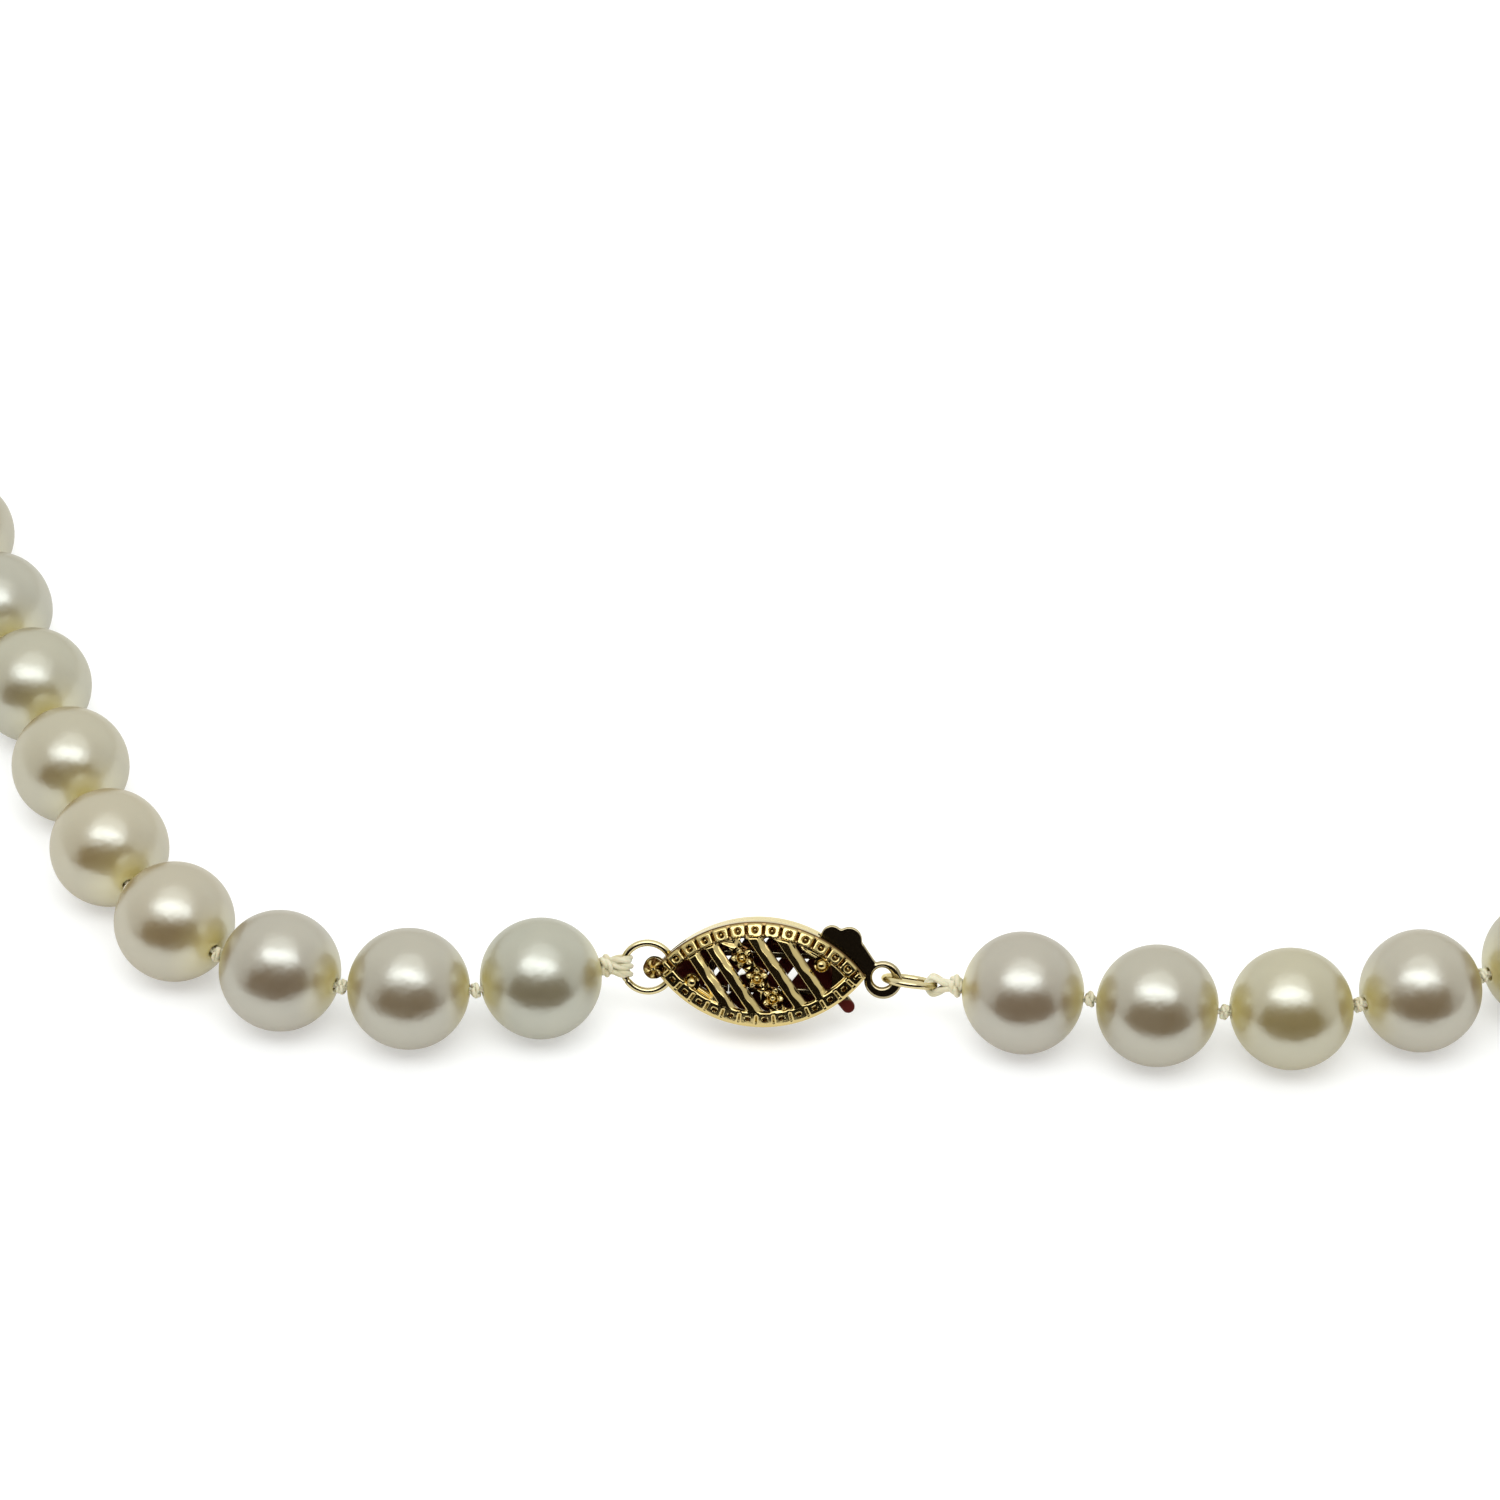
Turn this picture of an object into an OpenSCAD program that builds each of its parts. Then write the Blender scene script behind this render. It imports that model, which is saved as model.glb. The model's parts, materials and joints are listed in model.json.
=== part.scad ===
// Pearl necklace: one knotted strand of round pearls, closed by a pierced marquise clasp.
// It lies in a loop on a flat surface at z = 0, with its clasp at the front, near y = 0.
// The clasp is modelled about its own centre: x along it, y across it, z out of its front.

/* [Strand] */
// Number of pearls on the strand
pearl_count = 58; // [58]
// Diameter of a pearl
pearl_d = 7.0; // [6.8:0.05:7.05]
// Distance from one knot to the next
pitch = 7.6; // [7.6]
// Diameter of the hole drilled through a pearl
drill_d = 0.8; // [0.6:0.05:1.0]
// Diameter of the silk thread
thread_d = 0.45; // [0.3:0.05:0.5]
// Diameter of a knot between two pearls
knot_d = 0.88; // [0.86:0.01:0.92]
// Thickness of a knot, along the thread
knot_t = 0.36; // [0.3:0.02:0.36]
// Inside radius of the thread loops that hold the rings
loop_r = 0.32; // [0.3:0.01:0.34]
// Diameter of the bundle of thread in one loop
loop_d = 0.4; // [0.3:0.05:0.4]

/* [Clasp body] */
// Length of the marquise outline
clasp_l = 12; // [12:0.1:12.4]
// Width of the marquise outline
clasp_w = 6; // [5.8:0.1:6.2]
// Thickness over both shells, at the middle
clasp_t = 3.5; // [3.3:0.1:3.8]
// Radius of the domed faces
dome_r = 20; // [18:1:26]
// Gap between the two shells, where the hook slides
slot_t = 0.7; // [0.6:0.05:0.8]
// Wall of a shell at its side
wall = 0.45; // [0.4:0.05:0.6]
// Thickness of the pierced face
face_t = 0.4; // [0.3:0.05:0.5]
// Width of the milled rim around the pierced face
rim_w = 0.87; // [0.7:0.01:1.0]
// Width of a diagonal bar of the pierced face
bar_w = 0.7; // [0.5:0.05:0.8]
// Slope of the bars
bar_angle = -54; // [-60:1:-45]
// Lean of the clasp, from lying on its back
clasp_lean = 52; // [50:1:62]
// Turn of the clasp about the vertical
clasp_yaw = -3.3; // [-4:0.1:-2]

/* [Hook] */
// Thickness of the hook's strip
hook_t = 0.4; // [0.3:0.05:0.45]
// Width of the hook's strip
strip_w = 0.35; // [0.3:0.05:0.4]
// Inside radius of the hook's bend
bend_r = 0.85; // [0.8:0.05:0.9]
// Radius of the eye that holds the right ring
eye_r = 1.08; // [1.0:0.02:1.2]
// Radius of the eye's hole
eye_hole_r = 0.56; // [0.5:0.02:0.6]

/* [Rings] */
// Radius of a jump ring, to the middle of its wire
ring_r = 1.42; // [1.38:0.01:1.46]
// Diameter of a jump ring's wire
ring_wire = 0.4; // [0.35:0.01:0.42]
// Lean of the left ring, out of the clasp's plane
left_ring_lean = 8; // [0:1:8]
// Slope of the right ring, down from the clasp's length
right_ring_slope = -6; // [-10:1:0]

/* [Hidden] */
$fn = 48;
pearl_r = pearl_d / 2;
clasp_at = [0, 0.7, pearl_r];
arc_r = (pow(clasp_l, 2) + pow(clasp_w, 2)) / (4 * clasp_w);
arc_y = arc_r - clasp_w / 2;

// The strand's route through its knots, seen from above, from the left ring round to the right
route = [
  [-8.8, 1.2], [-16, -0.8], [-23.6, -0.5], [-30.6, 1.9], [-36, 6.9], [-39.2, 13.8],
  [-42, 20.9], [-45, 28], [-54, 50], [-61, 80], [-55, 112], [-33, 135.5], [0, 144.5],
  [34, 137.5], [60, 117], [74, 84], [75, 50], [66, 20], [56, 7.2], [48.6, 3.2],
  [41.4, 0.5], [34.1, -1.9], [26.4, -2.5], [18.6, -1.5], [11, -0.4]
];
route_steps = 12;

// Where the parts of the clasp are, in its own plane
ring_post_at = [-5.7, 0];
cross_post_at = [4.6, 0];
post_r = 0.3;
knuckle_at = [-6.06, 0];
knuckle_r = 0.6;
knuckle_h = 0.5;
band_x = [-4.3, 3.2];
band_t = 0.3;
hollow_x = [-4.9, 4.1];
hollow_under = 0.1;
bars_x = [-3.1, -1.7, 1.15, 2.75];
column_x = -0.26;
column_w = 1.1;
bead_r = 0.28;
bead_sink = 0.1;
bead_land_r = 0.498;
beads = [[-1.02, 0.96], [-0.13, -0.17], [0.8, -1.29], [-3.85, -0.6], [3.5, 0.7]];
pits = 6;
pit_r = 0.18;
pit_depth = 0.16;
pit_step = 7.95;
upper_pits_turn = 5.11;
lower_pits_turn = 3.16;

// The hook's outline
bend_at = [-1.8, 0];
eye_at = [6.97, -0.18];
eye_hole_at = [6.91, -0.04];
lobe_a = [3.98, 2.2];
lobe_a_r = 0.62;
lobe_b = [4.97, 2.04];
lobe_b_r = 0.72;
arm = [
  [3.4, 0.85], [5.2, 0.85], [6.1, -0.3], [6.97, 0.2], [6.5, 0.83], [5.8, 1.8],
  [5.0, 2.2], [3.4, 2.2]
];
leg_end = 4.52;
tab_r = 0.37;
tab_l = 1.1;
tab_end = [5.05, -1.77];
tab_angle = -49;
spring_gap = 0.04;

// The rings: the left one hangs on the ring post, the right one in the hook's eye
left_ring_at = [-6.42, 0, 0];
left_wire_at = left_ring_at - [ring_r, 0, 0];
right_ring_at = [8.47, -0.21, 0];
right_wire_at = right_ring_at + ring_r * [cos(right_ring_slope), sin(right_ring_slope), 0];

// The strand moves in stretches: the knots at which each stretch starts and ends
left_runs = [[0, 2], [2, 5], [5, 12]];
right_runs = [[58, 57], [57, 55], [55, 53], [53, 51], [51, 44], [44, 38], [38, 31],
              [31, 25], [25, 18], [18, 12]];
open_knot = 12;
thread_start = 0.27;
knot_hold = 0.08;
open_start = 0.7;
open_knot_t = 0.22;
open_knot_shift = 0.12;
loop_pitch = 0.38;
neck_d = 0.6;

// Pearls with a node of their own, and the groups that share one
single_pearls = [1, 2, 3, 4, 5, 6, 7, 8, 9, 10, 11, 12, 51, 52, 53, 54, 55, 56, 57, 58];
pearl_groups = [[45, 50], [39, 44], [32, 38], [26, 31], [19, 25], [13, 18]];

function two(n) = n < 10 ? str("0", n) : str(n);
function pearl_name(n) = str("pearl_", two(n));
function group_name(g) = str("pearls_", two(g[0]), "_to_", two(g[1]));
function run_name(side, n) = str("thread_", side, "_", two(n + 1));

// A smooth curve through the route's points
function route_point(n) = route[max(0, min(len(route) - 1, n))];
function between(a, b, c, d, t) =
  0.5 * (2 * b + (c - a) * t + (2 * a - 5 * b + 4 * c - d) * t * t
         + (3 * b - a - 3 * c + d) * t * t * t);
curve = concat(
  [for (n = [0:len(route) - 2]) for (k = [0:route_steps - 1])
    between(route_point(n - 1), route_point(n), route_point(n + 1), route_point(n + 2),
            k / route_steps)],
  [route[len(route) - 1]]);
curve_s = [for (n = 0, s = 0; n < len(curve);
                s = s + (n + 1 < len(curve) ? norm(curve[n + 1] - curve[n]) : 0), n = n + 1) s];
curve_x = [for (n = [0:len(curve) - 1]) [curve_s[n], curve[n][0]]];
curve_y = [for (n = [0:len(curve) - 1]) [curve_s[n], curve[n][1]]];
function at(s) = [lookup(s, curve_x), lookup(s, curve_y)];

// Knots stand one pitch apart in a straight line, whatever the bend
function next_step(s, d, tries) =
  tries == 0 ? d : next_step(s, d * pitch / norm(at(s + d) - at(s)), tries - 1);
knot_s = [for (k = 0, s = 0; k <= pearl_count; s = s + next_step(s, pitch, 4), k = k + 1) s];
knots = [for (s = knot_s) at(s)];
function knot_at(k) = [knots[k][0], knots[k][1], pearl_r];
function pearl_at(n) = (knot_at(n - 1) + knot_at(n)) / 2;
function heading(a, b) = atan2(b[1] - a[1], b[0] - a[0]);
function pearl_heading(n) = heading(knots[n - 1], knots[n]);
function knot_heading(k) =
  heading(knots[max(0, k - 1)], knots[min(pearl_count, k + 1)]);

// The origin is under the middle of the whole loop
centres = [for (n = [1:pearl_count]) pearl_at(n)];
low = [for (i = [0, 1]) min([for (c = centres) c[i]]) - pearl_r];
high = [for (i = [0, 1]) max([for (c = centres) c[i]]) + pearl_r];
origin = [(low[0] + high[0]) / 2, (low[1] + high[1]) / 2, 0];

module necklace() {
  translate(-origin) children();
}

module place_clasp() {
  necklace() translate(clasp_at) rotate([0, 0, clasp_yaw]) rotate([clasp_lean, 0, 0]) children();
}

// A point of the clasp, in the strand's frame
function lean(p) = [p[0], p[1] * cos(clasp_lean) - p[2] * sin(clasp_lean),
                    p[1] * sin(clasp_lean) + p[2] * cos(clasp_lean)];
function yaw(p) = [p[0] * cos(clasp_yaw) - p[1] * sin(clasp_yaw),
                   p[0] * sin(clasp_yaw) + p[1] * cos(clasp_yaw), p[2]];
function clasp_point(p) = clasp_at + yaw(lean(p));

module marquise(inset = 0) {
  intersection() {
    translate([0, arc_y]) circle(r = arc_r - inset);
    translate([0, -arc_y]) circle(r = arc_r - inset);
  }
}

module dome(drop = 0) {
  translate([0, 0, clasp_t / 2 - dome_r - drop]) sphere(r = dome_r, $fn = 96);
}

function dome_z(p) =
  clasp_t / 2 - dome_r + sqrt(pow(dome_r, 2) - pow(p[0], 2) - pow(p[1], 2));

module column_strip(x, w) {
  translate([x, 0]) rotate(bar_angle) square([3 * clasp_w, w], center = true);
}

module shell_windows() {
  difference() {
    intersection() {
      marquise(rim_w);
      translate([hollow_x[0], -clasp_w]) square([hollow_x[1] - hollow_x[0], 2 * clasp_w]);
    }
    for (x = bars_x) column_strip(x, bar_w);
    column_strip(column_x, column_w);
    for (b = beads) translate(b) circle(r = bead_land_r);
  }
}

module rim_pits() {
  for (side = [-1, 1]) for (i = [-pits:pits]) {
    r = arc_r - rim_w / 2;
    turn = i * pit_step + (side > 0 ? upper_pits_turn : lower_pits_turn);
    p = [r * sin(turn), side * (r * cos(turn) - arc_y)];
    if (side * p[1] > rim_w / 2)
      translate([p[0], p[1], dome_z(p) - pit_depth]) cylinder(r = pit_r, h = clasp_t, $fn = 24);
  }
}

// One pressed half of the clasp: a domed marquise dish, pierced within its rim
module shell() {
  difference() {
    union() {
      intersection() {
        translate([0, 0, slot_t / 2]) linear_extrude(clasp_t / 2) marquise();
        dome();
      }
      translate([knuckle_at[0], knuckle_at[1], slot_t / 2]) cylinder(r = knuckle_r, h = knuckle_h);
      for (b = beads) translate([b[0], b[1], dome_z(b) - bead_sink]) sphere(r = bead_r, $fn = 24);
    }
    intersection() {
      translate([0, 0, slot_t / 2 - hollow_under]) linear_extrude(clasp_t) intersection() {
        marquise(wall);
        translate([hollow_x[0], -clasp_w]) square([hollow_x[1] - hollow_x[0], 2 * clasp_w]);
      }
      dome(face_t);
    }
    translate([0, 0, slot_t / 2]) linear_extrude(clasp_t) shell_windows();
    rim_pits();
  }
}

module front_shell() {
  color("gold") place_clasp() shell();
}

module back_shell() {
  color("goldenrod") place_clasp() rotate([180, 0, 0]) shell();
}

// A smooth strip that joins the two shells along one side
module band(side) {
  linear_extrude(slot_t, center = true) intersection() {
    difference() {
      marquise();
      marquise(band_t);
    }
    translate([band_x[0], side > 0 ? 0 : -clasp_w]) square([band_x[1] - band_x[0], clasp_w]);
  }
}

module upper_band() {
  color("khaki") place_clasp() band(1);
}

module lower_band() {
  color("darkkhaki") place_clasp() band(-1);
}

module post(p) {
  translate([p[0], p[1], 0]) cylinder(r = post_r, h = slot_t, center = true);
}

module ring_post() {
  color("orange") place_clasp() post(ring_post_at);
}

module cross_post() {
  color("orange") place_clasp() post(cross_post_at);
}

// The hook: an eye for the ring, a lobed plate for the thumb, one leg and the bend
module hook_outline() {
  difference() {
    union() {
      translate(eye_at) circle(r = eye_r);
      polygon(arm);
      translate(lobe_a) circle(r = lobe_a_r);
      translate(lobe_b) circle(r = lobe_b_r);
      translate([bend_at[0], bend_r]) square([lobe_a[0] - bend_at[0], strip_w]);
      intersection() {
        translate(bend_at) circle(r = bend_r + strip_w);
        translate([bend_at[0] - 2 * clasp_w, -clasp_w]) square(2 * clasp_w);
      }
    }
    translate(bend_at) circle(r = bend_r);
    translate(eye_hole_at) circle(r = eye_hole_r);
  }
}

module hook() {
  color("darkgoldenrod") place_clasp() linear_extrude(hook_t, center = true) hook_outline();
}

// The hook's springy leg, with the tab that releases it
module spring_leg() {
  leg_l = leg_end - bend_at[0];
  color("peru") place_clasp() linear_extrude(hook_t, center = true) {
    translate([bend_at[0] + spring_gap, -bend_r - strip_w]) square([leg_l - spring_gap, strip_w]);
    translate(tab_end) circle(r = tab_r);
    translate(tab_end) rotate(tab_angle + 180) translate([0, -tab_r]) square([tab_l, 2 * tab_r]);
  }
}

module jump_ring() {
  rotate_extrude() translate([ring_r, 0]) circle(d = ring_wire, $fn = 24);
}

module left_ring() {
  color("gold") place_clasp() translate(left_ring_at) rotate([left_ring_lean, 0, 0]) jump_ring();
}

module right_ring() {
  color("gold") place_clasp() translate(right_ring_at) rotate([90, 0, right_ring_slope]) jump_ring();
}

// A round pearl with its drilled hole
module pearl(n) {
  color("ivory") necklace() translate(pearl_at(n)) rotate([0, 90, pearl_heading(n)]) difference() {
    sphere(d = pearl_d);
    cylinder(d = drill_d, h = 2 * pearl_d, center = true);
  }
}

module pearl_group(g) {
  for (n = [g[0]:g[1]]) pearl(n);
}

// A straight round rod from a to b
module rod(a, b, d) {
  v = b - a;
  translate(a) rotate([0, acos(v[2] / norm(v)), atan2(v[1], v[0])]) cylinder(d = d, h = norm(v));
}

// A knot is a thick round cushion across the thread
module knot(k) {
  open = k == open_knot;
  edge_r = (open ? open_knot_t : knot_t) / 2;
  shift = open ? -open_knot_shift : 0;
  translate(knot_at(k)) rotate([0, 90, knot_heading(k)]) rotate_extrude() {
    translate([knot_d / 2 - edge_r, shift]) circle(r = edge_r, $fn = 24);
    translate([0, shift - edge_r]) square([knot_d / 2 - edge_r, 2 * edge_r]);
  }
}

// A point on the thread, a gap away from knot k on the side of knot toward
function along(k, toward, gap) = knot_at(k) + gap * (knot_at(toward) - knot_at(k)) / pitch;

// The thread and knots from knot a to knot b; knot a is only its own at the strand's ends
module thread_run(a, b) {
  side = sign(b - a);
  strand_end = a == 0 || a == pearl_count;
  free_end = side < 0 && b == open_knot;
  for (k = [a:side:b - side]) {
    next = k + side;
    from_gap = k == a && !strand_end ? thread_start : knot_hold;
    to_gap = next == b && free_end ? open_start : knot_hold;
    rod(along(k, next, from_gap), along(next, k, to_gap), thread_d);
  }
  for (k = [strand_end ? a : a + side:side:free_end ? b - side : b]) knot(k);
}

// Turns of thread round a ring's wire, side by side along it
module end_loops() {
  for (i = [-1:1]) translate([0, 0, i * loop_pitch])
    rotate_extrude() translate([loop_r + loop_d / 2, 0]) circle(d = loop_d, $fn = 24);
}

// The bundle of thread from the loops to the strand's last knot
module end_neck(wire, k) {
  from = clasp_point(wire);
  to = knot_at(k);
  rod(from + (loop_r + loop_d / 2) * (to - from) / norm(to - from), to, neck_d);
}

module left_thread(i) {
  color("linen") {
    necklace() thread_run(left_runs[i][0], left_runs[i][1]);
    if (i == 0) {
      place_clasp() translate(left_wire_at) rotate([90 + left_ring_lean, 0, 0]) end_loops();
      necklace() end_neck(left_wire_at, 0);
    }
  }
}

module right_thread(i) {
  color("linen") {
    necklace() thread_run(right_runs[i][0], right_runs[i][1]);
    if (i == 0) {
      place_clasp() translate(right_wire_at) end_loops();
      necklace() end_neck(right_wire_at, pearl_count);
    }
  }
}

front_shell();
back_shell();
upper_band();
lower_band();
ring_post();
cross_post();
hook();
spring_leg();
left_ring();
right_ring();
for (n = single_pearls) pearl(n);
for (g = pearl_groups) pearl_group(g);
for (i = [0:len(left_runs) - 1])
  left_thread(i);
for (i = [0:len(right_runs) - 1])
  right_thread(i);
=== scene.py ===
"""Pearl necklace with a pierced marquise clasp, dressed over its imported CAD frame. Metres throughout."""
import json
import math
import random

import bpy
import numpy as np
from mathutils import Matrix, Vector


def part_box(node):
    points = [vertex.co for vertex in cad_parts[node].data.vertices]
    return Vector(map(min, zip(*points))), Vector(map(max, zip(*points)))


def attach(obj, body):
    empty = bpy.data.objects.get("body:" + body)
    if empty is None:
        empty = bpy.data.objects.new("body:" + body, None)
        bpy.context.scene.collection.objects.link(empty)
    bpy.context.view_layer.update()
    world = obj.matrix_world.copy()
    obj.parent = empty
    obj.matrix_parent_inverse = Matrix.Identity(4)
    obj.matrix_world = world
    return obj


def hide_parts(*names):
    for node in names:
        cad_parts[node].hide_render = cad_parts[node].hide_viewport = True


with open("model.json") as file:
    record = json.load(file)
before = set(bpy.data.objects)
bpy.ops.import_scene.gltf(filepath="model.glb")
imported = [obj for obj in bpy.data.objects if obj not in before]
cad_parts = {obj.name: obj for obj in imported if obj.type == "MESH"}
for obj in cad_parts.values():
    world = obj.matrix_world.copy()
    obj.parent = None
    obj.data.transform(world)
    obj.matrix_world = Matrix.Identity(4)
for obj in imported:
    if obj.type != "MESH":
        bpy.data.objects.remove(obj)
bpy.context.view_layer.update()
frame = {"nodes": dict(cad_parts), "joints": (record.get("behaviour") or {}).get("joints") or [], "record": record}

MM = 0.001
BODIES = frame["record"]["behaviour"]["bodies"]
BODY_OF = {node: body for body, members in BODIES.items() for node in members}
JOINTS = {joint["name"]: joint for joint in frame["joints"]}
rng = random.Random(7)


# ---------------------------------------------------------------- sizes, in millimetres

PEARL_R = 3.5
HALF_PITCH = 3.8
PEARL_COUNT = 58
OPEN_KNOT = 12
DRILL_R = 0.4
# How far from the drill axis the painted glow reaches: yellow reflected light from the silk and the next pearl,
# painted into the nacre's colour
PAINTED_GLOW_R = 2.8
PEARL_SEGMENTS = 72
PEARL_STEPS = 44

KNOT_R = 0.21
KNOT_SWING = 0.13
KNOT_PLY_R = 0.115
KNOT_REACH = 0.12
OPEN_KNOT_REACH = 0.3
END_KNOT_SIZE = 1.4
OPEN_KNOT_SIZE = 0.8
LOOP_TURNS = 3
LOOP_PITCH = 0.42
LOOP_R = 0.38
LOOP_PLY_R = 0.155

CLASP_L = 12.0
CLASP_W = 6.0
CLASP_T = 3.5
DOME_R = 20.0
SLOT = 0.35
WALL = 0.45
RIM_W = 0.87
ARC_R = (CLASP_L ** 2 + CLASP_W ** 2) / (4 * CLASP_W)
ARC_Y = ARC_R - CLASP_W / 2
RING_POST_X = -5.7
CROSS_POST_X = 4.6
KNUCKLE = (-6.06, 0.0, 0.6)
POST_R = 0.3
HOLLOW_X = (-4.9, 4.1)
BAND_X = (-4.3, 3.2)
BAND_T = 0.3
SHELL_CELL = 0.034
STRIP_CELL = 0.036
BAR_ANGLE = math.radians(-54)
BARS_X = (-3.1, -1.7, 1.15, 2.75)
BAR_HALF = 0.36
BACK_BAR_HALF = 0.44
BACK_WINDOWS_X = (-3.6, 3.0)
BACK_RIM_EXTRA = 0.22
FLORET_PITCH = 1.42
COLUMN_X = -0.26
COLUMN_HALF = 0.55
FLORETS = ((-1.02, 0.96), (-0.13, -0.17), (0.8, -1.29))
FLORET_R = 0.6
END_BEADS = ((-3.85, -0.6), (3.5, 0.7))
END_BEAD_R = 0.46
CELL = 0.98
UPPER_CELLS_X = 0.63
LOWER_CELLS_X = 0.39
SCROLLS = ((-1, -3.35, 0.34), (1, 3.1, 0.3))

HOOK_T = 0.4
BEND = (-1.8, 0.0)
BEND_R = 0.85
STRIP_W = 0.35
EYE = (6.97, -0.18, 1.08)
EYE_HOLE = (6.91, -0.04, 0.56)
LOBES = ((3.98, 2.2, 0.62), (4.97, 2.04, 0.72))
ARM = ((3.4, 0.85), (5.2, 0.85), (6.1, -0.3), (6.97, 0.2), (6.5, 0.83), (5.8, 1.8), (5.0, 2.2),
       (3.4, 2.2))
TAB_END = (5.05, -1.77)
TAB_R = 0.37
TAB_ANGLE = math.radians(-49)

RING_R = 1.42
RING_WIRE = 0.2
LEFT_RING_X = -6.42


# ---------------------------------------------------------------- meshes

class Build:
    """Collects vertices and faces in millimetres, and turns them into one object in metres."""

    def __init__(self):
        self.verts = []
        self.faces = []
        self.marks = []

    def add(self, verts, faces, marks=None):
        start = len(self.verts)
        self.verts.extend(tuple(v) for v in verts)
        self.faces.extend(tuple(start + i for i in f) for f in faces)
        self.marks.extend(marks if marks is not None else [(0.0, 0.0, 0.0)] * len(verts))

    def make(self, name, material, matrix=None, sharp=None):
        mesh = bpy.data.meshes.new(name)
        coords = np.array(self.verts, float)
        if matrix is not None:
            m = np.array(matrix)
            coords = coords @ m[:3, :3].T + m[:3, 3] / MM
        mesh.from_pydata((coords * MM).tolist(), [], self.faces)
        mesh.validate()
        mesh.shade_smooth()
        if sharp is not None:
            mesh.set_sharp_from_angle(angle=math.radians(sharp))
        marks = mesh.color_attributes.new("marks", "FLOAT_COLOR", "POINT")
        colours = np.ones((len(self.verts), 4), np.float32)
        colours[:, :3] = self.marks
        marks.data.foreach_set("color", colours.ravel())
        mesh.materials.append(material)
        piece = bpy.data.objects.new(name, mesh)
        bpy.context.scene.collection.objects.link(piece)
        return piece


def fit_piece(piece, node):
    """Rides a piece on its CAD node's body, in that node's place."""
    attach(piece, BODY_OF[node])
    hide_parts(node)


def tube(points, radius, sides=8, closed=False, radii=None):
    """A round tube along points, with a frame carried along without twist."""
    p = np.array(points, float)
    n = len(p)
    ahead = np.roll(p, -1, 0) - np.roll(p, 1, 0)
    if not closed:
        ahead[0] = p[1] - p[0]
        ahead[-1] = p[-1] - p[-2]
    ahead /= np.linalg.norm(ahead, axis=1)[:, None]
    side, up = carried_frame(ahead)
    angles = np.arange(sides) * 2 * math.pi / sides
    r = np.full(n, radius) if radii is None else np.array(radii, float)
    ring = (np.cos(angles)[None, :, None] * side[:, None, :]
            + np.sin(angles)[None, :, None] * up[:, None, :])
    verts = (p[:, None, :] + ring * r[:, None, None]).reshape(-1, 3)
    faces = []
    for i in range(n if closed else n - 1):
        a, b = i * sides, ((i + 1) % n) * sides
        for k in range(sides):
            m = (k + 1) % sides
            faces.append((a + k, a + m, b + m, b + k))
    if not closed:
        faces.append(tuple(range(sides - 1, -1, -1)))
        faces.append(tuple((n - 1) * sides + k for k in range(sides)))
    return verts, faces


def carried_frame(ahead):
    """Two directions across a path, turned as little as possible from point to point."""
    start = np.array([0.0, 0.0, 1.0]) if abs(ahead[0][2]) < 0.9 else np.array([1.0, 0.0, 0.0])
    side = np.zeros_like(ahead)
    s = np.cross(ahead[0], start)
    for i, a in enumerate(ahead):
        s = s - a * np.dot(s, a)
        s /= np.linalg.norm(s)
        side[i] = s
    return side, np.cross(ahead, side)


def twisted(build, points, ply_r, spread, turn, plies=2, sides=6, phase=0.0):
    """A cord of plies twisted round one another, turn millimetres to a full turn."""
    p = np.array(points, float)
    ahead = np.gradient(p, axis=0)
    ahead /= np.linalg.norm(ahead, axis=1)[:, None]
    side, up = carried_frame(ahead)
    run = np.r_[0, np.cumsum(np.linalg.norm(np.diff(p, axis=0), axis=1))]
    for k in range(plies):
        a = phase + run * 2 * math.pi / turn + 2 * math.pi * k / plies
        path = p + spread * (np.cos(a)[:, None] * side + np.sin(a)[:, None] * up)
        build.add(*tube(path, ply_r, sides))


def smooth_path(points, per_span):
    """A smooth curve through the points, per_span steps between each two."""
    p = [np.array(q, float) for q in points]
    p = [2 * p[0] - p[1]] + p + [2 * p[-1] - p[-2]]
    out = []
    for i in range(1, len(p) - 2):
        for k in range(per_span):
            t = k / per_span
            out.append(0.5 * (2 * p[i] + (p[i + 1] - p[i - 1]) * t
                              + (2 * p[i - 1] - 5 * p[i] + 4 * p[i + 1] - p[i + 2]) * t * t
                              + (3 * p[i] - p[i - 1] - 3 * p[i + 1] + p[i + 2]) * t ** 3))
    out.append(p[-2])
    return np.array(out)


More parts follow.
